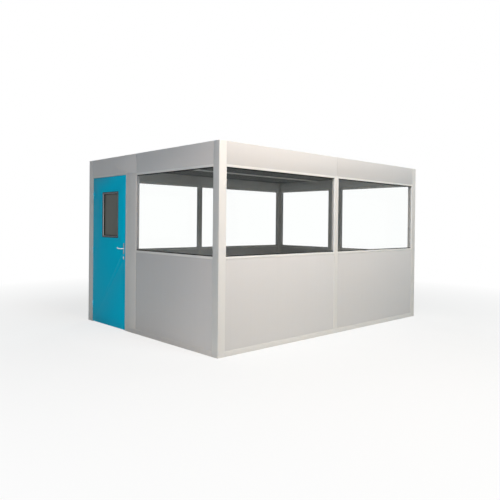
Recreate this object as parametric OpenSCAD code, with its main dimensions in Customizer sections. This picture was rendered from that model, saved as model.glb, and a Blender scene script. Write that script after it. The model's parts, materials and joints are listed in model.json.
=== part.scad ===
// Workshop cabin: framed panel walls with window bands, a flat roof and one door.
// Millimetres, +Z up. The origin is the centre of the footprint on the ground.
// The front wall faces -Y and the door wall faces -X.

/* [Cabin] */
// length of the front and back walls
body_w = 4000; // [3200:50:5000]
// length of the door wall and the end wall
body_d = 2930; // [2440:10:3600]
// overall height
body_h = 2300; // [2260:10:2800]
// thickness of every wall
wall_t = 50; // [42:1:70]
// radius of the posts' outer edges
edge_r = 4; // [1:0.5:8]

/* [Posts] */
// face of a corner post on each wall
post_face = 100; // [80:1:140]
// face of the posts in the middle of the long walls
mid_post_w = 72; // [60:1:120]
// width of the upright between the side window and the door
door_filler_w = 225; // [120:5:300]
// width of the upright between the end wall's windows
end_filler_w = 272; // [120:1:320]
// distance from the front to the end wall's upright
end_filler_y = 1405; // [1000:5:1600]

/* [Walls] */
// height of the rail on the ground
base_h = 60; // [40:1:100]
// set-back of the lower panels from the post faces
panel_recess = 3; // [1:0.5:8]
// height of the sill and head rails
rail_h = 26; // [20:1:40]
// top of the front and door walls' sills
sill_h = 1066; // [900:1:1200]
// top of the back and end walls' sills
far_sill_h = 1000; // [900:1:1200]
// underside of the front and door walls' head rails
head_h = 2026; // [1900:1:2060]
// underside of the back and end walls' head rails
far_head_h = 2040; // [1900:1:2060]
// gap between neighbouring fascia or roof panels
seam_gap = 2; // [1.5:0.5:4]

/* [Glass] */
// thickness of the window glass
glass_t = 6; // [4:1:8]
// depth of the glass in its groove
glass_seat = 10; // [6:1:14]

/* [Roof] */
// thickness of the roof panels
roof_t = 50; // [40:1:70]
// distance from the fascia's top down to the ceiling
ceiling_drop = 90; // [80:1:120]
// width of the ledge that carries the roof panels
ledge_w = 20; // [12:1:28]
// width of the ceiling's joint strips
strip_w = 50; // [30:1:80]
// thickness of the ceiling's joint strips
strip_t = 15; // [2:0.5:30]

/* [Door] */
// width of the leaf
leaf_w = 888; // [740:1:1070]
// top of the leaf above the ground
leaf_top = 2040; // [1950:1:2060]
// face of the door frame
jamb_w = 30; // [24:1:34]
// overlap of the frame's stop behind the leaf
stop_w = 10; // [8:1:16]
// thickness of the frame's stop
stop_t = 5; // [3:0.5:8]

/* [Door window] */
// width of the opening in the leaf
dwin_w = 412; // [320:1:560]
// height of the opening in the leaf
dwin_h = 599; // [400:1:720]
// distance from the leaf's lock edge to the opening
dwin_edge = 198; // [130:1:220]
// bottom of the opening in the leaf
dwin_z = 1223; // [1180:1:1300]
// thickness of the frame that lines the opening
dwin_lining = 12; // [11:0.5:20]
// how far the frame's flanges lap over the leaf
dwin_lap = 4; // [4:1:16]
// thickness of the frame's flanges
dwin_lap_t = 2; // [1:0.5:3]

/* [Lock] */
// distance from the leaf's lock edge to the lever's axis
backset = 29; // [28:1:60]
// height of the lever's axis
lever_z = 1075; // [1070:1:1120]
// thickness of the lever's bar
lever_d = 14; // [13:0.5:20]
// reach of the lever from its axis to the start of its tip
lever_len = 74; // [58:1:110]
// distance from the leaf's face to the middle of the bar
lever_out = 39; // [36:1:42]
// bend radius between the lever's neck and bar
lever_bend = 16; // [12:1:20]
// upward turn of the lever's tip in degrees
tip_turn = 36; // [10:1:40]
// radius of the lever's curved tip
tip_r = 50; // [30:1:70]
// how much thicker than the bar its rounded end is
tip_more = 1; // [0.6:0.2:3]
// width of the lever's plates
plate_w = 26; // [26:1:34]
// height of the lever's plates
plate_h = 145; // [110:1:170]
// thickness of the lever's plates
plate_t = 5; // [5:0.5:10]
// height of the key cylinder's middle
lock_z = 953; // [900:1:960]
// width of the key cylinder's cover
cover_w = 26; // [26:1:34]
// height of the key cylinder's cover
cover_h = 44; // [40:1:60]
// thickness of the key cylinder's cover
cover_t = 5; // [4:0.5:8]
// diameter of the key cylinder
cyl_d = 17; // [15:1:18]
// width of the key cylinder's lower web
cyl_web = 10; // [8:1:12]
// height of the key cylinder
cyl_h = 33; // [28:1:36]
// how far the key cylinder stands out of its cover
cyl_out = 2; // [1:0.5:4]

/* [Hinges] */
// diameter of the hinge barrels
barrel_d = 14; // [11.5:0.5:17]
// height of a whole hinge
hinge_h = 100; // [80:2:120]
// diameter of the hinge pins
pin_d = 8; // [6:0.5:9]
// how far each pin ends below its hinge's top
pin_short = 3; // [2:0.5:6]
// closed height over each pin in the upper barrel
pin_cap = 1.5; // [1:0.5:2.5]
// width of the hinge flaps
flap_w = 30; // [20:1:30]
// thickness of the hinge flaps
flap_t = 3; // [2:0.5:4]
// height of the lowest hinge's bottom edge
hinge_low = 200; // [150:10:300]
// distance from the leaf's top down to the highest hinge's top
hinge_high = 200; // [150:10:300]

/* [Clearances] */
// play on each side of a glass sheet in its groove
glass_fit = 0.3; // [0.2:0.1:0.6]
// play round the roof panels
roof_fit = 1; // [0.5:0.1:2]
// gap on the leaf's hinge and top edges
leaf_gap = 5; // [5:0.5:8]
// gap on the leaf's lock edge
lock_gap = 7; // [6.5:0.5:10]
// gap under the leaf
foot_gap = 8; // [6:1:15]
// gap between the leaf and the stop behind it
stop_gap = 5; // [5:0.5:6]
// radial play of pins and spindles in their bores
run_fit = 0.05; // [0.02:0.01:0.1]
// radial play of the spindle in the leaf
spindle_gap = 3; // [2:0.5:5]
// play round the key cylinder
cyl_fit = 0.3; // [0.2:0.1:0.5]
// gap between a hinge's two halves
washer_gap = 0.5; // [0.3:0.1:1]
// gap between a hinge barrel and the leaf's face
barrel_gap = 1.5; // [1:0.5:3]

/* [Hidden] */
$fn = 64;
xl = -body_w / 2;
yf = -body_d / 2;
yb = body_d / 2;
lip_t = wall_t - ledge_w;
ceil_z = body_h - ceiling_drop;
leaf_t = wall_t - stop_t - stop_gap;
hinge_out = barrel_d / 2 + barrel_gap;
open_w = leaf_w + lock_gap + leaf_gap;
frame_w = open_w + 2 * jamb_w;
// distances along the door wall from the front
door_far = body_d - post_face;
door_near = door_far - frame_w;
fill_near = door_near - door_filler_w;
lock_s = door_near + jamb_w + lock_gap;
hinge_s = lock_s + leaf_w;
head_z = leaf_top + leaf_gap;
frame_top = max(head_z + jamb_w, head_h + rail_h);
leaf_h = leaf_top - foot_gap;
axis_s = hinge_s + leaf_gap / 2;
spindle_s = lock_s + backset;
end_far = end_filler_y + end_filler_w;
roof_w = body_w - 2 * (lip_t + roof_fit);
roof_d = body_d - 2 * (lip_t + roof_fit);
groove_t = glass_t + 2 * glass_fit;
eps = 1;
// bottom and top of the glass on the near walls and on the far walls
near_row = [sill_h, head_h];
far_row = [far_sill_h, far_head_h];

white = [0.87, 0.87, 0.85];
grey = [0.76, 0.76, 0.75];
blue = [0.0, 0.5, 0.63];
clear = [0.85, 0.9, 0.9, 0.25];
smoke = [0.33, 0.35, 0.32, 0.92];
steel = [0.75, 0.75, 0.77];

// Each wall is drawn as if it were the front wall: X runs along it from 0,
// Y goes inwards from its outer face at 0.
module on_front() { translate([xl, yf, 0]) children(); }
module on_back() { translate([xl, yb, 0]) mirror([0, 1, 0]) children(); }
module on_door() { translate([xl, yf, 0]) mirror([1, -1, 0]) children(); }
module on_end() { translate([-xl, yf, 0]) mirror([1, 0, 0]) mirror([1, -1, 0]) children(); }

// Corner post: an angle profile with its outer corner at the origin.
module corner_profile() {
    difference() {
        union() {
            square([post_face, wall_t]);
            square([wall_t, post_face]);
        }
        square(edge_r);
    }
    translate([edge_r, edge_r]) circle(edge_r);
}

// An arm with no glass beside it gets an empty row.
module corner_post(row_x, row_y) {
    difference() {
        linear_extrude(body_h) corner_profile();
        translate([lip_t, lip_t, ceil_z]) cube([post_face, post_face, body_h]);
        if (len(row_x) > 0) side_groove(post_face, 1, row_x);
        if (len(row_y) > 0) mirror([1, -1, 0]) side_groove(post_face, 1, row_y);
    }
}

// Groove in the upright whose edge stands at s, cut towards -side.
module side_groove(s, side, row) {
    x0 = side > 0 ? s - glass_seat - glass_fit : s - eps;
    translate([x0, (wall_t - groove_t) / 2, row[0] - glass_seat - glass_fit])
        cube([glass_seat + glass_fit + eps, groove_t,
              row[1] - row[0] + 2 * (glass_seat + glass_fit)]);
}

// Upright from s0 to s1 with glass on its left and, unless told, on its right.
module upright(s0, s1, row, right = true) {
    difference() {
        translate([s0, 0, base_h]) cube([s1 - s0, wall_t, row[1] + rail_h - base_h]);
        side_groove(s0, -1, row);
        if (right) side_groove(s1, 1, row);
    }
}

module base_rail(s0, s1) {
    translate([s0, 0, 0]) cube([s1 - s0, wall_t, base_h]);
}

module lower_panel(s0, s1, row) {
    translate([s0, panel_recess, base_h])
        cube([s1 - s0, wall_t - 2 * panel_recess, row[0] - rail_h - base_h]);
}

module sill_rail(s0, s1, row) {
    difference() {
        translate([s0, 0, row[0] - rail_h]) cube([s1 - s0, wall_t, rail_h]);
        translate([s0 - eps, (wall_t - groove_t) / 2, row[0] - glass_seat - glass_fit])
            cube([s1 - s0 + 2 * eps, groove_t, glass_seat + glass_fit + eps]);
    }
}

module head_rail(s0, s1, row) {
    difference() {
        translate([s0, 0, row[1]]) cube([s1 - s0, wall_t, rail_h]);
        translate([s0 - eps, (wall_t - groove_t) / 2, row[1] - eps])
            cube([s1 - s0 + 2 * eps, groove_t, glass_seat + glass_fit + eps]);
    }
}

// The glass stands on the bottom of the sill rail's groove.
module pane(s0, s1, row) {
    translate([s0 - glass_seat, (wall_t - glass_t) / 2, row[0] - glass_seat - glass_fit])
        cube([s1 - s0 + 2 * glass_seat, glass_t, row[1] - row[0] + 2 * glass_seat + glass_fit]);
}

// Fascia panel with the ledge that the roof panels lie on.
module fascia(s0, s1, row) {
    band_z = row[1] + rail_h;
    difference() {
        translate([s0, 0, band_z]) cube([s1 - s0, wall_t, body_h - band_z]);
        translate([s0 - eps, lip_t, ceil_z]) cube([s1 - s0 + 2 * eps, wall_t, body_h]);
    }
}

// Roof panel number i of three, counted from the front.
module roof_panel(i) {
    step = body_d / 3;
    near = i == 0 ? -roof_d / 2 : yf + i * step + seam_gap / 2;
    far = i == 2 ? roof_d / 2 : yf + (i + 1) * step - seam_gap / 2;
    translate([-roof_w / 2, near, ceil_z]) cube([roof_w, far - near, roof_t]);
}

long_mid = body_w / 2;
mid_from = long_mid - mid_post_w / 2;
mid_to = long_mid + mid_post_w / 2;
end_mid = (end_filler_y + end_far) / 2;
short_end = body_d - post_face;
// start and end of each bay between uprights
long_bays = [[post_face, mid_from], [mid_to, body_w - post_face]];
door_bays = [[post_face, fill_near]];
end_bays = [[post_face, end_filler_y], [end_far, short_end]];

module lower_panels(bays, row) for (b = bays) lower_panel(b[0], b[1], row);
module sill_rails(bays, row) for (b = bays) sill_rail(b[0], b[1], row);
module head_rails(bays, row) for (b = bays) head_rail(b[0], b[1], row);
module panes(bays, row) for (b = bays) pane(b[0], b[1], row);
module fascias(mid, end, row) {
    fascia(post_face, mid - seam_gap / 2, row);
    fascia(mid + seam_gap / 2, end, row);
}

module post_front_left() color(white) on_front() corner_post(near_row, near_row);
module post_front_right() color(white) on_end() corner_post(far_row, near_row);
module post_back_left() color(white) on_back() corner_post(far_row, []);
module post_back_right()
    color(white) translate([-xl, yb, 0]) rotate([0, 0, 180]) corner_post(far_row, far_row);

module post_front_mid() color(white) on_front() upright(mid_from, mid_to, near_row);
module post_back_mid() color(white) on_back() upright(mid_from, mid_to, far_row);
module filler_door_side()
    color(white) on_door() upright(fill_near, door_near, near_row, right = false);
module filler_end() color(white) on_end() upright(end_filler_y, end_far, far_row);

module base_rail_front() color(white) on_front() base_rail(post_face, body_w - post_face);
module base_rail_back() color(white) on_back() base_rail(post_face, body_w - post_face);
module base_rail_door() color(white) on_door() base_rail(post_face, door_near);
module base_rail_end() color(white) on_end() base_rail(post_face, short_end);

module lower_panels_front() color(grey) on_front() lower_panels(long_bays, near_row);
module lower_panels_back() color(grey) on_back() lower_panels(long_bays, far_row);
module lower_panel_door() color(grey) on_door() lower_panels(door_bays, near_row);
module lower_panels_end() color(grey) on_end() lower_panels(end_bays, far_row);

module sill_rails_front() color(white) on_front() sill_rails(long_bays, near_row);
module sill_rails_back() color(white) on_back() sill_rails(long_bays, far_row);
module sill_rail_door() color(white) on_door() sill_rails(door_bays, near_row);
module sill_rails_end() color(white) on_end() sill_rails(end_bays, far_row);

module glass_front() color(clear) on_front() panes(long_bays, near_row);
module glass_back() color(clear) on_back() panes(long_bays, far_row);
module glass_side() color(clear) on_door() panes(door_bays, near_row);
module glass_end() color(clear) on_end() panes(end_bays, far_row);

module head_rails_front() color(white) on_front() head_rails(long_bays, near_row);
module head_rails_back() color(white) on_back() head_rails(long_bays, far_row);
module head_rail_door() color(white) on_door() head_rails(door_bays, near_row);
module head_rails_end() color(white) on_end() head_rails(end_bays, far_row);

module fascia_front() color(white) on_front() fascias(long_mid, body_w - post_face, near_row);
module fascia_back() color(white) on_back() fascias(long_mid, body_w - post_face, far_row);
module fascia_end() color(white) on_end() fascias(end_mid, short_end, far_row);
module fascia_side() color(white) on_door() difference() {
    fascias(fill_near, door_far, near_row);
    translate([door_near, -eps, base_h])
        cube([frame_w + eps, wall_t + 2 * eps, frame_top - base_h]);
}

module roof_panel_front() color(grey) roof_panel(0);
module roof_panel_mid() color(grey) roof_panel(1);
module roof_panel_back() color(grey) roof_panel(2);
module ceiling_strips() color(white) {
    for (i = [1, 2])
        translate([xl + wall_t, yf + i * body_d / 3 - strip_w / 2, ceil_z - strip_t])
            cube([body_w - 2 * wall_t, strip_w, strip_t]);
}

// Door frame: two jambs and a head, with a stop lip behind the leaf.
module door_frame() color(white) on_door() {
    lip_y = leaf_t + stop_gap;
    difference() {
        translate([door_near, 0, 0]) cube([frame_w, wall_t, frame_top]);
        translate([door_near + jamb_w, -eps, -eps])
            cube([open_w, lip_y + eps, head_z + eps]);
        translate([door_near + jamb_w + stop_w + lock_gap, -eps, -eps])
            cube([open_w - 2 * stop_w - lock_gap - leaf_gap, wall_t + 2 * eps,
                  head_z - leaf_gap - stop_w + eps]);
    }
}

module stadium(w, h) {
    square([w, h - w], center = true);
    for (s = [-1, 1]) translate([0, s * (h - w) / 2]) circle(d = w);
}

// Profile of the key cylinder, its round part on top.
module key_profile(grow) {
    translate([0, (cyl_h - cyl_d) / 2]) circle(d = cyl_d + 2 * grow);
    translate([-cyl_web / 2 - grow, -(cyl_h - cyl_web) / 2])
        square([cyl_web + 2 * grow, cyl_h - cyl_web / 2 - cyl_d / 2]);
    translate([0, -(cyl_h - cyl_web) / 2]) circle(d = cyl_web + 2 * grow);
}

// Stands a flat profile up in the door wall's plane, from depth y0 to y1.
module through_leaf(s, z, y0, y1) {
    translate([s, y1, z]) rotate([90, 0, 0]) linear_extrude(y1 - y0) children();
}

// Box round the leaf's window, grown by d on every side, from depth y0 to y1.
module window_box(d, y0, y1) {
    translate([lock_s + dwin_edge - d, y0, dwin_z - d])
        cube([dwin_w + 2 * d, y1 - y0, dwin_h + 2 * d]);
}

module door_leaf() color(blue) on_door() {
    difference() {
        translate([lock_s, 0, foot_gap]) cube([leaf_w, leaf_t, leaf_h]);
        window_box(0, -eps, leaf_t + eps);
        through_leaf(spindle_s, lever_z, -eps, leaf_t + eps) circle(d = lever_d + 2 * spindle_gap);
        through_leaf(spindle_s, lock_z, -eps, leaf_t + eps) key_profile(cyl_fit);
    }
}

module door_window_frame() color(steel) on_door() {
    groove_y = (leaf_t - groove_t) / 2;
    difference() {
        union() {
            window_box(0, 0, leaf_t);
            window_box(dwin_lap, -dwin_lap_t, 0);
            window_box(dwin_lap, leaf_t, leaf_t + dwin_lap_t);
        }
        window_box(-dwin_lining, -dwin_lap_t - eps, leaf_t + dwin_lap_t + eps);
        window_box(glass_seat + glass_fit - dwin_lining, groove_y, groove_y + groove_t);
    }
}

// The glass stands on the bottom of its groove.
module door_glass() color(smoke) on_door() {
    glass_y = (leaf_t - glass_t) / 2;
    translate([0, 0, -glass_fit])
        window_box(glass_seat - dwin_lining, glass_y, glass_y + glass_t);
}

// Bottoms of the three hinges.
hinge_top = leaf_top - hinge_high - hinge_h;
hinge_zs = [hinge_low, (hinge_low + hinge_top) / 2, hinge_top];
half_h = (hinge_h - washer_gap) / 2;

module hinge_half(side) {
    translate([axis_s, -hinge_out, 0]) cylinder(h = half_h, d = barrel_d);
    translate([side > 0 ? axis_s : axis_s - flap_w, -flap_t, 0]) cube([flap_w, flap_t, half_h]);
    translate([axis_s - flap_t / 2, -hinge_out, 0]) cube([flap_t, hinge_out, half_h]);
}

module door_hinges_fixed() color(steel) on_door() {
    for (z = hinge_zs) translate([0, 0, z]) {
        hinge_half(1);
        translate([axis_s, -hinge_out, 0]) cylinder(h = hinge_h - pin_short, d = pin_d);
    }
}

module door_hinges_moving() color(steel) on_door() {
    for (z = hinge_zs) translate([0, 0, z + half_h + washer_gap]) difference() {
        hinge_half(-1);
        translate([axis_s, -hinge_out, -eps])
            cylinder(h = half_h - pin_cap + eps, d = pin_d + 2 * run_fit);
    }
}

module door_plates() color(steel) on_door() {
    for (y = [-plate_t, leaf_t])
        through_leaf(spindle_s, lever_z, y, y + plate_t) difference() {
            stadium(plate_w, plate_h);
            circle(d = lever_d + 2 * run_fit);
        }
    for (y = [-cover_t, leaf_t])
        through_leaf(spindle_s, lock_z, y, y + cover_t) difference() {
            stadium(cover_w, cover_h);
            key_profile(cyl_fit);
        }
}

module door_lock_cylinder() color(steel) on_door()
    through_leaf(spindle_s, lock_z, -cover_t - cyl_out, leaf_t + cover_t + cyl_out) key_profile(0);

// One lever from the leaf's face outwards, its axis on -Y and its bar on +X.
module lever_side() {
    neck = lever_out - lever_bend;
    rotate([90, 0, 0]) cylinder(h = neck, d = lever_d);
    translate([lever_bend, -neck, 0]) rotate([0, 0, 180]) rotate_extrude(angle = 90)
        translate([lever_bend, 0]) circle(d = lever_d);
    translate([lever_bend, -lever_out, 0]) rotate([0, 90, 0])
        cylinder(h = lever_len - lever_bend, d = lever_d);
    translate([lever_len, -lever_out, tip_r]) rotate([90, 0, 0]) rotate([0, 0, -90])
        rotate_extrude(angle = tip_turn) translate([tip_r, 0]) circle(d = lever_d);
    translate([lever_len + tip_r * sin(tip_turn), -lever_out, tip_r * (1 - cos(tip_turn))])
        sphere(d = lever_d + tip_more);
}

module door_lever() color(steel) on_door() translate([spindle_s, 0, lever_z]) {
    lever_side();
    rotate([-90, 0, 0]) cylinder(h = leaf_t, d = lever_d);
    translate([0, leaf_t, 0]) mirror([0, 1, 0]) lever_side();
}

post_front_left();
post_front_right();
post_back_left();
post_back_right();
post_front_mid();
post_back_mid();
filler_door_side();
filler_end();
base_rail_front();
base_rail_back();
base_rail_door();
base_rail_end();
lower_panels_front();
lower_panels_back();
lower_panel_door();
lower_panels_end();
sill_rails_front();
sill_rails_back();
sill_rail_door();
sill_rails_end();
glass_front();
glass_back();
glass_side();
glass_end();
head_rails_front();
head_rails_back();
head_rail_door();
head_rails_end();
fascia_front();
fascia_back();
fascia_side();
fascia_end();
roof_panel_front();
roof_panel_mid();
roof_panel_back();
ceiling_strips();
door_frame();
door_leaf();
door_window_frame();
door_glass();
door_hinges_fixed();
door_hinges_moving();
door_plates();
door_lock_cylinder();
door_lever();
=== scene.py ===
"""Finishes, gaskets and fittings of a framed workshop cabin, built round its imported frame."""

import json
import math

import bmesh
import bpy
from bpy.props import FloatProperty, FloatVectorProperty, PointerProperty
from mathutils import Matrix, Vector


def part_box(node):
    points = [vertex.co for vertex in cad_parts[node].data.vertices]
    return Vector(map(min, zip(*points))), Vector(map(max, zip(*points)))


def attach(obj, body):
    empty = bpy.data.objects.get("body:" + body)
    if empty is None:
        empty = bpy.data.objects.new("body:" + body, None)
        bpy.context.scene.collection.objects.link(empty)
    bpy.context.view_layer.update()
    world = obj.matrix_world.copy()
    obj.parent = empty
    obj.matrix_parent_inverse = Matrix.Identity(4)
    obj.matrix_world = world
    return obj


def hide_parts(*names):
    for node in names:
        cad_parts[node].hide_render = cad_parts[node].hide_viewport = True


bl_info = {
    "name": "Workshop Cabin",
    "version": (1, 0, 0),
    "blender": (4, 5, 0),
    "location": "3D View > Sidebar > Cabin",
    "description": "Finishes, gaskets, fittings and a studio for a framed cabin with one door",
    "category": "Object",
}

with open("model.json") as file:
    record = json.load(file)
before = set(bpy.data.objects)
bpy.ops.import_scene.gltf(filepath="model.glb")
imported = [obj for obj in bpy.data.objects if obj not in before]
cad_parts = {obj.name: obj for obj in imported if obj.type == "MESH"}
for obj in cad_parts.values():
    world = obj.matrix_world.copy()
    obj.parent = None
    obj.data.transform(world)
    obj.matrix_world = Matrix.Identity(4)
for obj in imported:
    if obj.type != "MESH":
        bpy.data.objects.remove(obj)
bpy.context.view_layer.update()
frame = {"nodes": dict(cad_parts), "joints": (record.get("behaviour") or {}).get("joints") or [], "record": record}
JOINT = {joint["name"]: Vector(joint["pos_m"]) for joint in frame["joints"]}
OUTWARDS = Vector((-1.0, 0.0, 0.0))  # the way out through the door wall
MM = 0.001

WELD = 5e-6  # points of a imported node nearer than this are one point
FLAT = math.radians(0.5)  # packed faces that meet within this angle are one face
SHARP = math.radians(40)  # edges sharper than this are rounded
FACES_AXIS = 0.5  # a face looks along an axis when its normal has more than this of it
FLAP = 3 * MM  # how far the hinge flaps stand out from the leaf
STOP_GAP = 5 * MM  # between the closed leaf and the lip behind it


def length(label, text, default):
    return FloatProperty(
        name=label, description=text, default=default, min=0.0, precision=4, unit="LENGTH"
    )


def tone(label, text, default):
    return FloatVectorProperty(
        name=label, description=text, default=default, min=0.0, max=1.0, subtype="COLOR_GAMMA"
    )


class CabinSizes(bpy.types.PropertyGroup):
    frame_round: length("Frame edges", "Rounding of post and rail edges", 1.2 * MM)
    panel_round: length("Panel edges", "Rounding of the folded panel edges", 2 * MM)
    fitting_round: length("Fitting edges", "Rounding of plate and hinge edges", 0.8 * MM)
    glass_hold: length("Glass hold", "How far a pane stands in its groove", 10 * MM)
    gasket_width: length("Gasket width", "Face of the rubber along each pane", 13 * MM)
    gasket_depth: length("Gasket depth", "Height of that rubber on the glass", 6 * MM)
    bead_face: length("Bead width", "Face of the outer bead on each side of a pane", 9 * MM)
    bead_depth: length("Bead depth", "Height of the outer bead on the glass", 18 * MM)
    inner_bead: length("Inner bead", "Face of the bead round each pane inside", 6 * MM)
    door_gasket: length("Door gasket", "Face and height of the rubber round the door's pane", 10 * MM)
    flange_seal: length("Flange seal", "Rubber round the door window's flange", 10 * MM)
    stop_seal: length("Stop seal", "Width of the rubber on the door stop", 8 * MM)
    bead_width: length("Roof bead", "Width of the sealing beads on the roof", 12 * MM)
    tuck: length("Tuck", "How far a gasket's edge is hidden in its corner", 1 * MM)
    screw_head: length("Screw head", "Radius of a screw head", 3.6 * MM)
    screw_rise: length("Screw rise", "Height of a screw head", 1.6 * MM)
    plug: length("Lock plug", "Radius of the turning plug in the lock", 6.2 * MM)
    collar: length("Lever collar", "Width of the ring round the lever's neck", 4 * MM)


class CabinColours(bpy.types.PropertyGroup):
    frame: tone("Frame", "Posts, base rails, fillers and hinges", (0.895, 0.89, 0.877))
    # A lighter copy of the frame colour: a painted highlight on the sill and head rails beside the glass.
    rail: tone("Window rails", "Rails under and over the windows", (0.95, 0.947, 0.935))
    fascia: tone("Fascia", "Panels above the windows", (0.865, 0.86, 0.855))
    panel: tone("Wall panels", "Panels below the windows", (0.865, 0.86, 0.855))
    # The ceiling colour is painted shade: a dark grey for the inside of the roof panels, whose upper skins take
    # the roof colour.
    ceiling_painted_shade: tone("Ceiling", "Undersides of the roof panels", (0.40, 0.41, 0.405))
    roof: tone("Roof", "Upper skins of the roof panels", (0.80, 0.80, 0.795))
    door: tone("Door", "The door leaf", (0.0, 0.83, 0.98))
    trim: tone("Door window flange", "Flange of the door window's frame", (0.50, 0.51, 0.53))
    lining: tone("Door window lining", "Lining of the door window's frame", (0.86, 0.87, 0.88))
    rubber: tone("Rubber", "Gaskets and seals", (0.10, 0.10, 0.10))
    bead: tone("Glazing bead", "Beads that hold the panes", (0.88, 0.885, 0.89))
    # A darker copy of the bead colour: painted shade on the beads of the window beside the door.
    side_bead: tone("Side bead", "Beads of the window beside the door", (0.74, 0.745, 0.75))
    steel: tone("Steel", "Lever, lock and screws", (0.84, 0.85, 0.86))
    plate: tone("Plates", "Plates behind the lever and the lock", (0.52, 0.62, 0.66))
    dim_glass: tone("Door glass", "The dim pane in the door", (0.36, 0.38, 0.34))
    sealant: tone("Sealant", "Beads on the roof", (0.70, 0.70, 0.69))
    floor: tone("Floor", "The studio floor", (0.93, 0.93, 0.92))


class CabinStudio(bpy.types.PropertyGroup):
    eye: FloatVectorProperty(
        name="Eye", description="Where the camera stands", unit="LENGTH",
        default=(-5.56482, -5.72695, 1.42899),
    )
    heading: FloatProperty(
        name="Heading", description="Turn of the view from +Y towards +X", unit="ROTATION",
        default=0.75547,
    )
    tilt: FloatProperty(
        name="Tilt", description="Upward tilt of the view", unit="ROTATION", default=-0.00956
    )
    roll: FloatProperty(
        name="Roll", description="Turn about the line of sight", unit="ROTATION", default=0.01057
    )
    lens: FloatProperty(
        name="Lens", description="Focal length in mm on a 36 mm sensor", default=38.10, min=1.0
    )
    rise: FloatProperty(
        name="Rise", description="Vertical shift of the picture", default=-0.0438
    )
    lamps: FloatProperty(
        name="Lamps", description="Factor on the power of every lamp", default=1.0, min=0.0
    )
    ambient: FloatVectorProperty(
        name="Ambient", description="Light from all round", default=(0.03, 0.03, 0.03), min=0.0
    )


# name, place, point aimed at, size (metres), colour, power (watts)
LAMPS = (
    ("key", (-2.4, -4.9, 5.2), (0.0, -1.4, 1.0), 2.2, (1.0, 0.70, 0.45), 165.0),
    ("high", (-1.0, -6.0, 9.0), (0.0, -1.4, 1.0), 3.0, (0.76, 0.92, 1.0), 460.0),
    ("broad", (-5.0, -6.0, 8.0), (-1.0, -1.4, 1.0), 3.0, (0.5, 0.68, 1.0), 100.0),
    ("side", (-8.0, -5.0, 5.0), (-2.0, 0.0, 1.0), 2.5, (0.83, 0.91, 1.0), 139.0),
    ("rear", (5.5, 6.5, 9.0), (1.0, 1.0, 1.0), 3.0, (0.96, 1.0, 0.97), 215.0),
)


# ---------------------------------------------------------------- node trees


class Value:
    """A number socket. Each operator used on it adds a Math node."""

    def __init__(self, tree, socket):
        self.tree, self.socket = tree, socket

    def math(self, operation, *values):
        made = self.tree.nodes.new("ShaderNodeMath")
        made.operation = operation
        for place, value in zip(made.inputs, values):
            if isinstance(value, Value):
                self.tree.links.new(value.socket, place)
            else:
                place.default_value = value
        return Value(self.tree, made.outputs[0])

    def __add__(self, other):
        return self.math("ADD", self, other)

    def __radd__(self, other):
        return self.math("ADD", other, self)

    def __sub__(self, other):
        return self.math("SUBTRACT", self, other)

    def __rsub__(self, other):
        return self.math("SUBTRACT", other, self)

    def __mul__(self, other):
        return self.math("MULTIPLY", self, other)

    def __rmul__(self, other):
        return self.math("MULTIPLY", other, self)

    def __truediv__(self, other):
        return self.math("DIVIDE", self, other)

    def __rtruediv__(self, other):
        return self.math("DIVIDE", other, self)

    def __pow__(self, other):
        return self.math("POWER", self, other)

    def larger(self, other):
        return self.math("MAXIMUM", self, other)

    def unit(self):
        """The value held between 0 and 1."""
        return self.math("MINIMUM", self.math("MAXIMUM", self, 0.0), 1.0)


class Placed:
    """A node in a tree, whose outputs are read by name or number."""

    def __init__(self, tree, node):
        self.tree, self.node = tree, node

    def __getitem__(self, output):
        return Value(self.tree, self.node.outputs[output])


class Tree:
    """Adds nodes to a shader or geometry tree."""

    def __init__(self, tree):
        self.tree = tree

    def add(self, kind, settings=None, inputs=None):
        """One node: its settings first, then the values or links of its sockets."""
        node = self.tree.nodes.new(kind)
        for key, value in (settings or {}).items():
            setattr(node, key, value)
        for key, value in (inputs or {}).items():
            if isinstance(value, Value):
                self.tree.links.new(value.socket, node.inputs[key])
            else:
                node.inputs[key].default_value = value
        return Placed(self.tree, node)

    def blend(self, share, low, high):
        """Colour low where share is 0, colour high where it is 1."""
        mixed = self.add("ShaderNodeMix", {"data_type": "RGBA"}, {0: share, 6: low, 7: high})
        return mixed[2]

    def noise(self, at, scale, detail=2.0, roughness=0.5):
        made = self.add(
            "ShaderNodeTexNoise", None,
            {"Vector": at, "Scale": scale, "Detail": detail, "Roughness": roughness},
        )
        return made["Fac"]

    def stretched(self, at, x, y, z):
        return self.add("ShaderNodeMapping", None, {"Vector": at, "Scale": (x, y, z)})["Vector"]

    def mix(self, share, low, high):
        """Shader low where share is 0, shader high where it is 1."""
        return self.add("ShaderNodeMixShader", None, {0: share, 1: low, 2: high})[0]


def linear(colour):
    """A display colour as scene-linear RGBA."""
    turned = [c / 12.92 if c <= 0.04045 else ((c + 0.055) / 1.055) ** 2.4 for c in colour]
    return (*turned, 1.0)


def shade(colour, factor):
    """The same hue, lighter or darker by a factor."""
    return (*(min(c * factor, 1.0) for c in colour[:3]), 1.0)


def new_material(name):
    """An empty material's tree, with the place of each point in metres."""
    material = bpy.data.materials.new(name)
    material.use_nodes = True
    material.node_tree.nodes.clear()
    tree = Tree(material.node_tree)
    at = tree.add("ShaderNodeTexCoord")["Object"]
    return material, tree, at


def output(tree, surface):
    tree.add("ShaderNodeOutputMaterial", None, {"Surface": surface})


# ------------------------------------------------------------------ finishes


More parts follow.
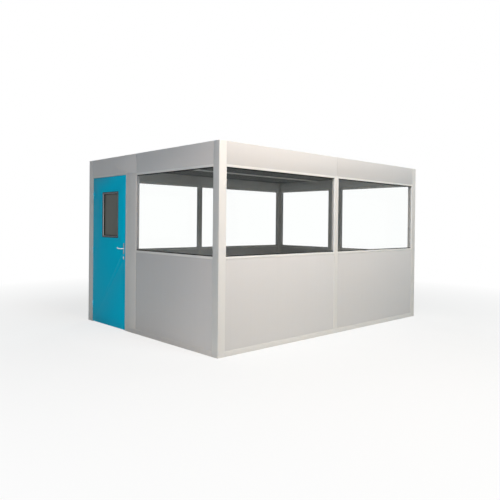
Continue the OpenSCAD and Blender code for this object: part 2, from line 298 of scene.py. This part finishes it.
def paint(name, colour, rough=0.42, streak=0.012, gloss=0.3):
    """Powder paint on sheet metal: orange peel, faint rolling streaks, and a warm darker tone near the ground that
    is dust with painted shade.
    """
    material, tree, at = new_material(name)
    base = linear(colour)
    height = tree.add("ShaderNodeSeparateXYZ", None, {"Vector": at})["Z"]
    broad = tree.noise(at, 0.9, 2.0)
    streaks = tree.noise(tree.stretched(at, 26.0, 26.0, 0.35), 1.0, 3.0)
    peel = tree.noise(at, 330.0, 2.0)
    waves = tree.noise(tree.stretched(at, 1.0, 1.0, 1.6), 3.2, 1.0)
    share = (broad * 0.5 + streaks * 0.5).unit()
    cleaned = tree.blend(share, shade(base, 1 - 2 * streak), shade(base, 1 + 2 * streak))
    # Below 0.16 m the colour blends towards a warm grey: dust, and painted shade along the foot of each part.
    low = ((0.16 - height) / 0.16).unit()
    dust_and_shade = (low * low * (0.35 + tree.noise(at, 7.0, 4.0) * 0.65) * 0.10).unit()
    dusted_and_shaded = tree.blend(dust_and_shade, cleaned, linear((0.62, 0.59, 0.54)))
    bump = tree.add(
        "ShaderNodeBump", None,
        {"Strength": 0.35, "Distance": 1.0, "Height": peel * 0.00004 + waves * 0.0016},
    )
    skin = tree.add(
        "ShaderNodeBsdfPrincipled", None,
        {"Base Color": dusted_and_shaded, "Roughness": rough - 0.05 + peel * 0.1 + dust_and_shade * 0.4,
         "Specular IOR Level": gloss, "Normal": bump["Normal"]},
    )
    output(tree, skin["BSDF"])
    return material


def rubber(name, colour):
    """Rubber, sealant and the near-black painted shade of a hollow, all with a fine matt grain."""
    material, tree, at = new_material(name)
    base = linear(colour)
    grain = tree.noise(at, 900.0, 2.0)
    bloom = tree.noise(at, 14.0, 3.0)
    skin = tree.add(
        "ShaderNodeBsdfPrincipled", None,
        {"Base Color": tree.blend(bloom, shade(base, 0.8), shade(base, 1.35)),
         "Roughness": 0.55 + grain * 0.2,
         "Specular IOR Level": 0.1,
         "Normal": tree.add("ShaderNodeBump", None, {
             "Strength": 0.4, "Distance": 1.0, "Height": grain * 0.00005})["Normal"]},
    )
    output(tree, skin["BSDF"])
    return material


def brushed(name, colour, rough):
    """Metal with fine upright brush lines."""
    material, tree, at = new_material(name)
    base = linear(colour)
    lines = tree.noise(tree.stretched(at, 1.0, 1.0, 0.04), 1600.0, 3.0, 0.6)
    clouds = tree.noise(at, 22.0, 3.0)
    skin = tree.add(
        "ShaderNodeBsdfPrincipled", None,
        {"Base Color": tree.blend(lines, shade(base, 0.86), shade(base, 1.06)),
         "Metallic": 1.0,
         "Roughness": rough - 0.06 + lines * 0.08 + clouds * 0.08,
         "Normal": tree.add("ShaderNodeBump", None, {
             "Strength": 0.3, "Distance": 1.0, "Height": lines * 0.00003})["Normal"]},
    )
    output(tree, skin["BSDF"])
    return material


def clear_glass(name):
    """Thin float glass: see-through with a faint green cast, and a mirror film that grows edge-on."""
    material, tree, at = new_material(name)
    facing = tree.add("ShaderNodeLayerWeight", None, {"Blend": 0.5})["Facing"]
    wiped = tree.noise(tree.stretched(at, 1.0, 1.0, 0.4), 5.0, 4.0)
    through = tree.add("ShaderNodeBsdfTransparent", None, {"Color": (0.996, 1.0, 0.998, 1.0)})
    film = tree.add(
        "ShaderNodeBsdfGlossy", None,
        {"Color": (0.95, 0.98, 0.97, 1.0), "Roughness": 0.02 + wiped * 0.03},
    )
    share = (0.004 + facing ** 5.0 * 0.6 + wiped * 0.004).unit()
    output(tree, tree.mix(share, through["BSDF"], film["BSDF"]))
    return material


def dim_glass(name, colour):
    """Grey-brown glass that lets little through."""
    material, tree, at = new_material(name)
    base = linear(colour)
    cloud = tree.noise(tree.stretched(at, 1.0, 1.0, 0.5), 4.0, 3.0)
    grain = tree.noise(at, 260.0, 2.0)
    tint = tree.blend((cloud * 0.8 + grain * 0.2).unit(), shade(base, 0.82), shade(base, 1.18))
    body = tree.add(
        "ShaderNodeBsdfPrincipled", None,
        {"Base Color": tint, "Roughness": 0.10 + cloud * 0.08, "IOR": 1.45,
         "Specular IOR Level": 0.25},
    )
    through = tree.add("ShaderNodeBsdfTransparent", None, {"Color": shade(base, 1.0)})
    output(tree, tree.mix(0.92 + cloud * 0.06, through["BSDF"], body["BSDF"]))
    return material


FINISHES = {}


def make_finishes(colours):
    FINISHES.update(
        frame=paint("frame_paint", colours.frame, 0.40, 0.006),
        # Painted highlight: the rails beside the glass take a lighter copy of the frame paint.
        rail=paint("painted_highlight_rail", colours.rail, 0.40, 0.006),
        fascia=paint("fascia_paint", colours.fascia, 0.42, 0.010),
        wall_panel=paint("panel_paint", colours.panel, 0.44, 0.014),
        # Painted shade: the undersides of the roof panels take the dark ceiling grey.
        roof_panel=paint("painted_shade_ceiling", colours.ceiling_painted_shade, 0.75, 0.016, 0.1),
        roof_skin=paint("roof_paint", colours.roof, 0.55, 0.020),
        door_blue=paint("door_paint", colours.door, 0.45, 0.020, 0.04),
        door_trim=paint("trim_paint", colours.trim, 0.5, 0.01, 0.15),
        lining=paint("lining_paint", colours.lining, 0.45, 0.01, 0.2),
        seal=rubber("rubber", colours.rubber),
        bead=paint("bead_paint", colours.bead, 0.5, 0.01),
        # Painted shade: the beads beside the door take a darker copy of the bead paint.
        side_bead=paint("painted_shade_side_bead", colours.side_bead, 0.5, 0.01),
        hinge=paint("hinge_paint", colours.frame, 0.4, 0.01),
        sealant=rubber("sealant", colours.sealant),
        fittings=brushed("fitting_steel", colours.steel, 0.26),
        plate=brushed("plate_steel", colours.plate, 0.4),
        # Painted shade: near-black for the inside of the lock's key slot.
        keyway=rubber("painted_shade_keyway", (0.06, 0.06, 0.06)),
        window_glass=clear_glass("clear_glass"),
        door_glass=dim_glass("dim_glass", colours.dim_glass),
    )


# -------------------------------------------------------------------- pieces

SLOT = {part["node"]: part["material_slot"] for part in frame["record"]["subparts"]}
BODY = {
    node: body
    for body, nodes in frame["record"]["behaviour"]["bodies"].items()
    for node in nodes
}
LEFT_AS_PACKED = ("window_glass", "door_glass")


def add_piece(name, mesh, body):
    """A finished mesh as a piece of the cabin that moves with a body."""
    piece = bpy.data.objects.new(name, mesh)
    bpy.context.scene.collection.objects.link(piece)
    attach(piece, body)
    return piece


def baked(piece):
    """The piece's mesh with its modifiers in it; the piece itself is removed."""
    bpy.context.view_layer.update()
    graph = bpy.context.evaluated_depsgraph_get()
    mesh = bpy.data.meshes.new_from_object(
        piece.evaluated_get(graph), preserve_all_data_layers=False, depsgraph=graph
    )
    bpy.data.objects.remove(piece)
    return mesh


def welded(node):
    """A bmesh copy of a CAD node, its triangles joined and its flat faces made whole."""
    made = bmesh.new()
    made.from_mesh(frame["nodes"][node].data)
    bmesh.ops.remove_doubles(made, verts=made.verts, dist=WELD)
    bmesh.ops.dissolve_limit(made, angle_limit=FLAT, verts=made.verts, edges=made.edges)
    return made


def solids(node):
    """Lowest and highest corner of each separate solid in a CAD node."""
    joined = welded(node)
    left, boxes = set(joined.verts), []
    while left:
        found, edge = set(), [left.pop()]
        while edge:
            vert = edge.pop()
            found.add(vert)
            for near in (link.other_vert(vert) for link in vert.link_edges):
                if near in left:
                    left.discard(near)
                    edge.append(near)
        points = [v.co for v in found]
        boxes.append((
            Vector(min(p[i] for p in points) for i in range(3)),
            Vector(max(p[i] for p in points) for i in range(3)),
        ))
    joined.free()
    return sorted(boxes, key=lambda box: tuple(round(c, 4) for c in box[0]))


def rounded(node, radius, finish=None):
    """Puts a copy of a CAD node with rounded edges in the node's place."""
    joined = welded(node)
    mesh = bpy.data.meshes.new(node)
    joined.to_mesh(mesh)
    joined.free()
    mesh.polygons.foreach_set("use_smooth", [True] * len(mesh.polygons))
    rough = bpy.data.objects.new(node + "_rough", mesh)
    bpy.context.scene.collection.objects.link(rough)
    if radius:
        bevel = rough.modifiers.new("Edges", "BEVEL")
        bevel.width, bevel.segments = radius, 2
        bevel.limit_method, bevel.angle_limit = "ANGLE", SHARP
        bevel.harden_normals = True
    finished = baked(rough)
    if not finished.polygons:
        raise RuntimeError(node + " came out empty")
    finished.materials.clear()
    finished.materials.append(FINISHES[finish or SLOT[node]])
    piece = add_piece(node + "_finished", finished, BODY[node])
    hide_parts(node)
    return piece


def outline_mesh(name, paths):
    """Edges along paths of points; each path is (points, way out, closed)."""
    mesh = bpy.data.meshes.new(name)
    points, edges, outs = [], [], []
    for path, out, closed in paths:
        first = len(points)
        points += path
        outs += [out] * len(path)
        edges += [(first + i, first + i + 1) for i in range(len(path) - 1)]
        if closed:
            edges.append((first + len(path) - 1, first))
    mesh.from_pydata(points, edges, [])
    way = mesh.attributes.new("out", "FLOAT_VECTOR", "POINT")
    way.data.foreach_set("vector", [c for out in outs for c in out])
    return mesh


def group(name, inputs):
    """An empty geometry node group with a Geometry socket at each end and named inputs."""
    tree = bpy.data.node_groups.new(name, "GeometryNodeTree")
    tree.interface.new_socket("Geometry", in_out="INPUT", socket_type="NodeSocketGeometry")
    for label, kind in inputs:
        tree.interface.new_socket(label, in_out="INPUT", socket_type="NodeSocket" + kind)
    tree.interface.new_socket("Geometry", in_out="OUTPUT", socket_type="NodeSocketGeometry")
    made = Tree(tree)
    return tree, made, made.add("NodeGroupInput")


def strip_group():
    """Sweeps a rounded rectangle along each edge path, its depth along the path's way out."""
    tree, made, given = group(
        "swept_strip",
        [("Width", "Float"), ("Depth", "Float"), ("Corner", "Float"), ("Material", "Material")],
    )
    curve = made.add("GeometryNodeMeshToCurve", None, {"Mesh": given["Geometry"]})
    turned = made.add(
        "GeometryNodeFilletCurve", {"mode": "POLY"},
        {"Curve": curve["Curve"], "Count": 3, "Radius": given["Corner"], "Limit Radius": True},
    )
    out = made.add(
        "GeometryNodeInputNamedAttribute", {"data_type": "FLOAT_VECTOR"}, {"Name": "out"}
    )
    held = made.add(
        "GeometryNodeSetCurveNormal", {"mode": "FREE"},
        {"Curve": turned["Curve"], "Normal": out["Attribute"]},
    )
    section = made.add(
        "GeometryNodeCurvePrimitiveQuadrilateral", {"mode": "RECTANGLE"},
        {"Width": given["Depth"], "Height": given["Width"]},
    )
    soft = made.add(
        "GeometryNodeFilletCurve", {"mode": "POLY"},
        {"Curve": section["Curve"], "Count": 2, "Radius": given["Depth"] * 0.35,
         "Limit Radius": True},
    )
    swept = made.add(
        "GeometryNodeCurveToMesh", None,
        {"Curve": held["Curve"], "Profile Curve": soft["Curve"], "Fill Caps": True},
    )
    real = made.add("GeometryNodeRealizeInstances", None, {"Geometry": swept["Mesh"]})
    coated = made.add(
        "GeometryNodeSetMaterial", None,
        {"Geometry": real["Geometry"], "Material": given["Material"]},
    )
    made.add("NodeGroupOutput", None, {"Geometry": coated["Geometry"]})
    return tree


def screw_group():
    """A button-head screw with a driver recess on each point, its axis along the way out."""
    tree, made, given = group(
        "screw_heads", [("Radius", "Float"), ("Rise", "Float"), ("Material", "Material")]
    )
    head = made.add(
        "GeometryNodeMeshCylinder", {"fill_type": "NGON"},
        {"Vertices": 12, "Radius": given["Radius"], "Depth": given["Rise"]},
    )
    solid, top = head["Mesh"], head["Top"]
    for lift, scale in ((0.35, 0.80), (0.0, 0.55), (-0.7, 1.0)):
        pulled = made.add(
            "GeometryNodeExtrudeMesh", {"mode": "FACES"},
            {"Mesh": solid, "Selection": top, "Offset Scale": given["Rise"] * lift},
        )
        top = pulled["Top"]
        solid = made.add(
            "GeometryNodeScaleElements", {"domain": "FACE"},
            {"Geometry": pulled["Mesh"], "Selection": top, "Scale": scale},
        )["Geometry"]
    out = made.add(
        "GeometryNodeInputNamedAttribute", {"data_type": "FLOAT_VECTOR"}, {"Name": "out"}
    )
    turned = made.add(
        "FunctionNodeAlignRotationToVector", {"axis": "Z"}, {"Vector": out["Attribute"]}
    )
    set_out = made.add(
        "GeometryNodeInstanceOnPoints", None,
        {"Points": given["Geometry"], "Instance": solid, "Rotation": turned["Rotation"]},
    )
    real = made.add("GeometryNodeRealizeInstances", None, {"Geometry": set_out["Instances"]})
    coated = made.add(
        "GeometryNodeSetMaterial", None,
        {"Geometry": real["Geometry"], "Material": given["Material"]},
    )
    made.add("NodeGroupOutput", None, {"Geometry": coated["Geometry"]})
    return tree


GROUPS = {}


def grown(name, kind, mesh, values, body):
    """Runs a node group over a guide mesh and keeps the result as a plain piece."""
    if kind not in GROUPS:
        GROUPS[kind] = {"strip": strip_group, "screws": screw_group}[kind]()
    guide = bpy.data.objects.new(name + "_guide", mesh)
    bpy.context.scene.collection.objects.link(guide)
    modifier = guide.modifiers.new("Grow", "NODES")
    modifier.node_group = GROUPS[kind]
    for item in GROUPS[kind].interface.items_tree:
        if item.item_type == "SOCKET" and item.in_out == "INPUT" and item.name in values:
            modifier[item.identifier] = values[item.name]
    finished = baked(guide)
    if not finished.polygons:
        raise RuntimeError(name + " came out empty")
    return add_piece(name, finished, body)


def wall_axis(low, high):
    """0 or 1: the horizontal axis along which a pane is thin."""
    return 0 if high.x - low.x < high.y - low.y else 1


def loop(low, high, axis, depth, grow):
    """Corners of an upright rectangle, grown by grow on every side, at a depth on its axis."""
    along = 1 - axis
    corners = []
    for a, z in ((0, 0), (1, 0), (1, 1), (0, 1)):
        point = Vector((0.0, 0.0, 0.0))
        point[axis] = depth
        point[along] = (high[along] + grow) if a else (low[along] - grow)
        point.z = (high.z + grow) if z else (low.z - grow)
        corners.append(point)
    return corners


def rings(boxes, grow, depth, parts="all", sides="both"):
    """Paths round panes; depth is from the pane's face to the strip's middle.

    The parts are "all" for closed rings, "level" or "upright" for two straight strips.
    The sides are "both", or "outer" or "inner" as seen from the middle of the cabin."""
    paths = []
    for low, high in boxes:
        axis = wall_axis(low, high)
        outer = 1 if low[axis] > 0 else -1
        for side in {"both": (-1, 1), "outer": (outer,), "inner": (-outer,)}[sides]:
            out = Vector((0.0, 0.0, 0.0))
            out[axis] = side
            face = high[axis] if side > 0 else low[axis]
            a, b, c, d = loop(low, high, axis, face + side * depth, grow)
            if parts == "all":
                paths.append(([a, b, c, d], out, True))
            else:
                pairs = ((a, b), (d, c)) if parts == "level" else ((b, c), (a, d))
                paths += [(list(pair), out, False) for pair in pairs]
    return paths


# ----------------------------------------------------------------- operators


class CabinOperator:
    """What the cabin's operators share."""

    bl_options = {"REGISTER"}

    @property
    def sizes(self):
        return bpy.context.scene.cabin_sizes

    def strip(self, name, paths, width, depth, corner, finish, body, slot=None):
        return grown(
            name, "strip", outline_mesh(name, paths),
            {"Width": width, "Depth": depth, "Corner": corner, "Material": FINISHES[finish]},
            body,
        )


class CABIN_OT_finishes(CabinOperator, bpy.types.Operator):
    """Make every finish and put the glass finishes on their panes"""

    bl_idname = "cabin.finishes"
    bl_label = "Finishes"

    def execute(self, context):
        make_finishes(context.scene.cabin_colours)
        for node, slot in SLOT.items():
            if slot in LEFT_AS_PACKED:
                for place in frame["nodes"][node].material_slots:
                    place.material = FINISHES[slot]
        return {"FINISHED"}


class CABIN_OT_walls(CabinOperator, bpy.types.Operator):
    """Round the edges of the posts, rails, fillers, door frame, panels and roof"""

    bl_idname = "cabin.walls"
    bl_label = "Walls and roof"

    def execute(self, context):
        radius = {
            "frame": self.sizes.frame_round,
            "fascia": self.sizes.panel_round,
            "wall_panel": self.sizes.panel_round,
            "roof_panel": self.sizes.panel_round,
        }
        for node, slot in SLOT.items():
            if slot in radius:
                # Sill and head rails beside the glass take the lighter rail paint, which is a painted highlight.
                beside_glass = node.startswith(("sill_rail", "head_rail"))
                piece = rounded(node, radius[slot], finish="rail" if beside_glass else None)
                # Faces of a roof panel that look up take the roof paint; all others keep the dark ceiling paint,
                # which is painted shade.
                if slot == "roof_panel":
                    piece.data.materials.append(FINISHES["roof_skin"])
                    for face in piece.data.polygons:
                        face.material_index = 1 if face.normal.z > FACES_AXIS else 0
        return {"FINISHED"}


class CABIN_OT_door(CabinOperator, bpy.types.Operator):
    """Round the edges of the door leaf, its window frame, lever, plates and hinges"""

    bl_idname = "cabin.door"
    bl_label = "Door and fittings"

    def execute(self, context):
        rounded("door_leaf", self.sizes.panel_round)
        trim = rounded("door_window_frame", self.sizes.fitting_round).data
        trim.materials.append(FINISHES["lining"])
        for face in trim.polygons:
            face.material_index = 0 if abs(face.normal.x) > FACES_AXIS else 1
        rounded("door_hinges_fixed", self.sizes.fitting_round, finish="hinge")
        moving = rounded("door_hinges_moving", self.sizes.fitting_round, finish="hinge").data
        moving.materials.append(FINISHES["door_blue"])
        leaf_low, leaf_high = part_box("door_leaf")
        flap_front = leaf_low.x - FLAP - 0.5 * MM
        for face in moving.polygons:
            on_leaf = face.center.y < leaf_high.y and face.center.x > flap_front
            face.material_index = 1 if on_leaf else 0
        rounded("door_plates", self.sizes.fitting_round, finish="plate")
        rounded("door_lock_cylinder", self.sizes.fitting_round / 2)
        rounded("door_lever", 0.0)
        return {"FINISHED"}


class CABIN_OT_gaskets(CabinOperator, bpy.types.Operator):
    """Lay rubber and glazing beads along the panes of the windows and of the door"""

    bl_idname = "cabin.gaskets"
    bl_label = "Glass gaskets and beads"

    def execute(self, context):
        sizes = self.sizes
        windows = [node for node, slot in SLOT.items() if slot == "window_glass"]
        others = [node for node in windows if node != "glass_side"]
        for name, nodes, parts, sides, width, depth, finish in (
            ("window_gaskets", windows, "level", "outer", sizes.gasket_width, sizes.gasket_depth,
             "seal"),
            ("window_beads", others, "upright", "outer", sizes.bead_face, sizes.bead_depth,
             "bead"),
            # The window beside the door takes the darker bead paint, which is painted shade.
            ("side_window_beads", ["glass_side"], "upright", "outer", sizes.bead_face,
             sizes.bead_depth, "side_bead"),
            ("inner_beads", windows, "all", "inner", sizes.inner_bead, sizes.inner_bead, "bead"),
            ("door_glass_gasket", ["door_glass"], "all", "both", sizes.door_gasket,
             sizes.door_gasket, "seal"),
        ):
            boxes = [box for node in nodes for box in solids(node)]
            inset = sizes.tuck - sizes.glass_hold - width / 2
            self.strip(
                name, rings(boxes, inset, depth / 2, parts, sides), width, depth, width / 2,
                finish, BODY[nodes[0]], "seal",
            )
        return {"FINISHED"}


class CABIN_OT_door_seals(CabinOperator, bpy.types.Operator):
    """Lay rubber round the door window's flanges and on the door stop"""

    bl_idname = "cabin.door_seals"
    bl_label = "Door seals"

    def execute(self, context):
        sizes = self.sizes
        leaf_low, leaf_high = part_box("door_leaf")
        low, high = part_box("door_window_frame")
        low.x, high.x = leaf_low.x, leaf_high.x
        rise = 1.4 * MM
        self.strip(
            "door_flange_seal", rings([(low, high)], sizes.flange_seal / 2 - sizes.tuck, rise / 2),
            sizes.flange_seal, rise, sizes.flange_seal / 2, "seal", "door", "seal",
        )
        thick = STOP_GAP - 0.5 * MM
        x = leaf_high.x + STOP_GAP - thick / 2
        inset = 5 * MM
        path = [
            Vector((x, leaf_low.y + inset, thick)),
            Vector((x, leaf_low.y + inset, leaf_high.z - inset)),
            Vector((x, leaf_high.y - inset, leaf_high.z - inset)),
            Vector((x, leaf_high.y - inset, thick)),
        ]
        self.strip(
            "door_stop_seal", [(path, OUTWARDS, False)], sizes.stop_seal, thick, inset,
            "seal", "cabin", "seal",
        )
        return {"FINISHED"}


class CABIN_OT_roof_beads(CabinOperator, bpy.types.Operator):
    """Lay sealing beads along the roof's joints and round its edge"""

    bl_idname = "cabin.roof_beads"
    bl_label = "Roof beads"

    def execute(self, context):
        width = self.sizes.bead_width
        depth = width * 0.5
        panels = [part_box("roof_panel_" + place) for place in ("front", "mid", "back")]
        low = Vector(min(p[0][i] for p in panels) for i in range(3))
        high = Vector(max(p[1][i] for p in panels) for i in range(3))
        top = high.z + depth * 0.25
        inset = width * 0.3
        up = Vector((0.0, 0.0, 1.0))
        edge = [
            Vector((low.x + inset, low.y + inset, top)),
            Vector((high.x - inset, low.y + inset, top)),
            Vector((high.x - inset, high.y - inset, top)),
            Vector((low.x + inset, high.y - inset, top)),
        ]
        paths = [(edge, up, True)]
        for nearer, further in zip(panels, panels[1:]):
            y = (nearer[1].y + further[0].y) / 2
            ends = [Vector((low.x + width, y, top)), Vector((high.x - width, y, top))]
            paths.append((ends, up, False))
        self.strip("roof_beads", paths, width, depth, width / 2, "sealant", "cabin")
        return {"FINISHED"}


class CABIN_OT_screws(CabinOperator, bpy.types.Operator):
    """Put screws in the hinge flaps and in the inner plate of the lever"""

    bl_idname = "cabin.screws"
    bl_label = "Screws"

    def execute(self, context):
        sizes = self.sizes
        fixed, moving = solids("door_hinges_fixed"), solids("door_hinges_moving")
        from_edge = 9 * MM
        from_end = 14 * MM
        on_frame, on_leaf = [], []
        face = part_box("door_leaf")[0].x - FLAP - sizes.screw_rise / 2
        for (low, high), (upper_low, upper_high) in zip(fixed, moving):
            for share in (0.22, 0.78):
                z = low.z + (upper_low.z - low.z) * share
                on_frame.append(([Vector((face, high.y - from_edge, z))], OUTWARDS, False))
                z = upper_low.z + (upper_high.z - upper_low.z) * share
                on_leaf.append(([Vector((face, upper_low.y + from_edge, z))], OUTWARDS, False))
        plate = max(solids("door_plates"), key=lambda b: (b[0].x > JOINT["lever_turn"].x, b[1].z))
        x = plate[1].x + sizes.screw_rise / 2
        middle = (plate[0] + plate[1]) / 2
        reach = (plate[1].z - plate[0].z) / 2 - from_end
        for side in (-1, 1):
            spot = Vector((x, middle.y, middle.z + side * reach))
            on_leaf.append(([spot], -OUTWARDS, False))
        values = {
            "Radius": sizes.screw_head, "Rise": sizes.screw_rise, "Material": FINISHES["fittings"],
        }
        for name, spots, body in (
            ("frame_screws", on_frame, "cabin"), ("door_screws", on_leaf, "door"),
        ):
            grown(name, "screws", outline_mesh(name, spots), values, body)
        return {"FINISHED"}


class CABIN_OT_lock(CabinOperator, bpy.types.Operator):
    """Make the lock's slotted plugs and the collars round the lever's neck"""

    bl_idname = "cabin.lock"
    bl_label = "Lock plugs and collars"

    def execute(self, context):
        sizes = self.sizes
        low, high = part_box("door_lock_cylinder")
        barrel = (high.y - low.y) / 2
        centre = Vector((0.0, (low.y + high.y) / 2, high.z - barrel))
        made = bmesh.new()
        for x, way in ((low.x, -1), (high.x, 1)):
            self.plug(made, Vector((x, centre.y, centre.z)), way, sizes.plug)
        self.keep("lock_plugs", made, ["fittings", "keyway"])
        made = bmesh.new()
        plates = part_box("door_plates")
        axis = JOINT["lever_turn"]
        clear = 0.4 * MM
        bore = axis.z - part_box("door_lever")[0].z + clear
        for x, way in ((plates[0].x, -1), (plates[1].x, 1)):
            self.collar(made, Vector((x, axis.y, axis.z)), way, bore, sizes.collar)
        self.keep("lever_collars", made, ["fittings"])
        return {"FINISHED"}

    def keep(self, name, made, finishes):
        bmesh.ops.remove_doubles(made, verts=made.verts, dist=1e-6)
        bmesh.ops.recalc_face_normals(made, faces=made.faces)
        mesh = bpy.data.meshes.new(name)
        made.to_mesh(mesh)
        made.free()
        for finish in finishes:
            mesh.materials.append(FINISHES[finish])
        add_piece(name, mesh, "door")

    def circle(self, made, x, centre, radius, sides):
        """Points of an upright circle that faces along X."""
        turns = [2 * math.pi * i / sides for i in range(sides)]
        return [
            made.verts.new((x, centre.y + radius * math.cos(t), centre.z + radius * math.sin(t)))
            for t in turns
        ]

    def plug(self, made, at, way, radius):
        """A round plug with a key slot sunk into its face, standing proud of the cylinder."""
        rise, floor = 0.9 * MM, 0.1 * MM
        slot_w, slot_h = 1.7 * MM, 8.6 * MM
        sides = 32
        face = at.x + way * rise
        rim = self.circle(made, face, at, radius * 0.93, sides)
        foot = self.circle(made, at.x, at, radius, sides)
        hole = [
            made.verts.new((face, at.y + y * slot_w / 2, at.z + z * slot_h / 2))
            for y, z in ((-1, -1), (1, -1), (1, 1), (-1, 1))
        ]
        deep = [made.verts.new((at.x + way * floor, v.co.y, v.co.z)) for v in hole]
        edges = []
        for ring in (rim, hole):
            for a, b in zip(ring, ring[1:] + ring[:1]):
                edges.append(made.edges.new((a, b)))
        bmesh.ops.triangle_fill(made, edges=edges, use_beauty=True)
        # The key slot's walls and floor take the second finish, which is near-black painted shade in the slot.
        for top, bottom in ((rim, foot), (hole, deep)):
            for i in range(len(top)):
                j = (i + 1) % len(top)
                wall = made.faces.new((top[i], top[j], bottom[j], bottom[i]))
                wall.material_index = 1 if top is hole else 0
        made.faces.new(deep).material_index = 1
        made.faces.new(foot)

    def collar(self, made, at, way, inner, width):
        """A rounded ring on the lever plate that leaves the lever's neck free to turn."""
        height, sides = 4 * MM, 48
        profile = [
            (inner, 0.0), (inner, height * 0.85), (inner + width * 0.12, height),
            (inner + width * 0.5, height), (inner + width * 0.85, height * 0.75),
            (inner + width, height * 0.35), (inner + width, 0.0),
        ]
        hoops = [self.circle(made, at.x + way * h, at, r, sides) for r, h in profile]
        rows = list(zip(*hoops))
        for i in range(sides):
            here, there = rows[i], rows[(i + 1) % sides]
            for a in range(len(profile)):
                b = (a + 1) % len(profile)
                made.faces.new((here[a], here[b], there[b], there[a]))


class CABIN_OT_studio(CabinOperator, bpy.types.Operator):
    """Set the camera, the pale floor and the soft lamps"""

    bl_idname = "cabin.studio"
    bl_label = "Studio"

    def execute(self, context):
        studio = context.scene.cabin_studio
        self.camera(context.scene, studio)
        self.floor(context.scene.cabin_colours)
        self.world(context.scene, studio.ambient)
        for name, at, towards, size, colour, power in LAMPS:
            self.lamp(name + "_light", at, towards, size, colour, power * studio.lamps)
        context.scene.view_settings.view_transform = "Standard"
        return {"FINISHED"}

    def camera(self, scene, studio):
        level = Vector((math.cos(studio.heading), -math.sin(studio.heading), 0.0))
        ahead = Vector((
            math.sin(studio.heading) * math.cos(studio.tilt),
            math.cos(studio.heading) * math.cos(studio.tilt),
            math.sin(studio.tilt),
        ))
        upright = level.cross(ahead)
        right = math.cos(studio.roll) * level + math.sin(studio.roll) * upright
        up = math.cos(studio.roll) * upright - math.sin(studio.roll) * level
        turn = Matrix((right, up, -ahead)).transposed().to_4x4()
        data = bpy.data.cameras.new("camera")
        data.sensor_width, data.lens, data.shift_y = 36.0, studio.lens, studio.rise
        data.clip_end = 200.0
        seen = bpy.data.objects.new("camera", data)
        seen.matrix_world = Matrix.Translation(studio.eye) @ turn
        scene.collection.objects.link(seen)
        scene.camera = seen

    def lamp(self, name, at, towards, size, colour, power):
        data = bpy.data.lights.new(name, "AREA")
        data.shape, data.size, data.energy, data.color = "DISK", size, power, colour
        lamp = bpy.data.objects.new(name, data)
        lamp.location = at
        lamp.rotation_euler = (Vector(towards) - Vector(at)).to_track_quat("-Z", "Y").to_euler()
        bpy.context.scene.collection.objects.link(lamp)

    def seen_share(self, tree):
        """1 for rays that see the background: from the camera, a mirror or through glass."""
        ray = tree.add("ShaderNodeLightPath")
        return ray["Is Camera Ray"].larger(ray["Is Glossy Ray"]).larger(ray["Is Transmission Ray"])

    def floor(self, colours):
        """A plain pale floor that fades to white far out."""
        half = 60.0
        bright, fade_from, fade_over = 0.74, 3.0, 4.0
        mesh = bpy.data.meshes.new("floor")
        mesh.from_pydata(
            [(-half, -half, 0), (half, -half, 0), (half, half, 0), (-half, half, 0)], [],
            [(0, 1, 2, 3)],
        )
        material, tree, at = new_material("studio_floor")
        mottle = tree.noise(at, 1.4, 3.0)
        white = tree.add("ShaderNodeEmission", None, {"Color": (1, 1, 1, 1), "Strength": 1.0})
        place = tree.add("ShaderNodeSeparateXYZ", None, {"Vector": at})
        x, y = place["X"], place["Y"]
        away = (x ** 2.0 + y ** 2.0) ** 0.5
        bare = tree.blend(mottle, shade(linear(colours.floor), 0.97), linear(colours.floor))
        pale = tree.add("ShaderNodeBsdfDiffuse", None, {"Color": bare})
        far = ((away - fade_from) / fade_over).unit()
        share = (bright + far * (1 - bright)) * self.seen_share(tree)
        output(tree, tree.mix(share, pale["BSDF"], white["Emission"]))
        mesh.materials.append(material)
        floor = bpy.data.objects.new("floor", mesh)
        bpy.context.scene.collection.objects.link(floor)

    def world(self, scene, ambient):
        world = bpy.data.worlds.new("studio")
        world.use_nodes = True
        world.node_tree.nodes.clear()
        tree = Tree(world.node_tree)
        dim = tree.add("ShaderNodeBackground", None, {
            "Color": (*ambient, 1.0), "Strength": 1.0})
        white = tree.add("ShaderNodeBackground", None, {
            "Color": (1.0, 1.0, 1.0, 1.0), "Strength": 1.0})
        mixed = tree.mix(self.seen_share(tree), dim["Background"], white["Background"])
        tree.add("ShaderNodeOutputWorld", None, {"Surface": mixed})
        scene.world = world


class CABIN_PT_panel(bpy.types.Panel):
    bl_idname = "CABIN_PT_panel"
    bl_label = "Workshop Cabin"
    bl_space_type = "VIEW_3D"
    bl_region_type = "UI"
    bl_category = "Cabin"

    def draw(self, context):
        for operator in OPERATORS:
            self.layout.operator(operator.bl_idname)
        for settings in PROPERTIES:
            values = getattr(context.scene, settings)
            box = self.layout.box()
            for name in values.__annotations__:
                box.prop(values, name)


OPERATORS = (
    CABIN_OT_finishes,
    CABIN_OT_walls,
    CABIN_OT_door,
    CABIN_OT_gaskets,
    CABIN_OT_door_seals,
    CABIN_OT_roof_beads,
    CABIN_OT_screws,
    CABIN_OT_lock,
    CABIN_OT_studio,
)
PROPERTIES = {
    "cabin_sizes": CabinSizes,
    "cabin_colours": CabinColours,
    "cabin_studio": CabinStudio,
}


def register():
    for cls in (*PROPERTIES.values(), *OPERATORS, CABIN_PT_panel):
        bpy.utils.register_class(cls)
    for name, cls in PROPERTIES.items():
        setattr(bpy.types.Scene, name, PointerProperty(type=cls))


def unregister():
    for name in PROPERTIES:
        delattr(bpy.types.Scene, name)
    for cls in reversed((*PROPERTIES.values(), *OPERATORS, CABIN_PT_panel)):
        bpy.utils.unregister_class(cls)


def main():
    register()
    for operator in OPERATORS:
        area, name = operator.bl_idname.split(".")
        if getattr(getattr(bpy.ops, area), name)() != {"FINISHED"}:
            raise RuntimeError(operator.bl_label + " did not finish")


if __name__ == "__main__":
    main()
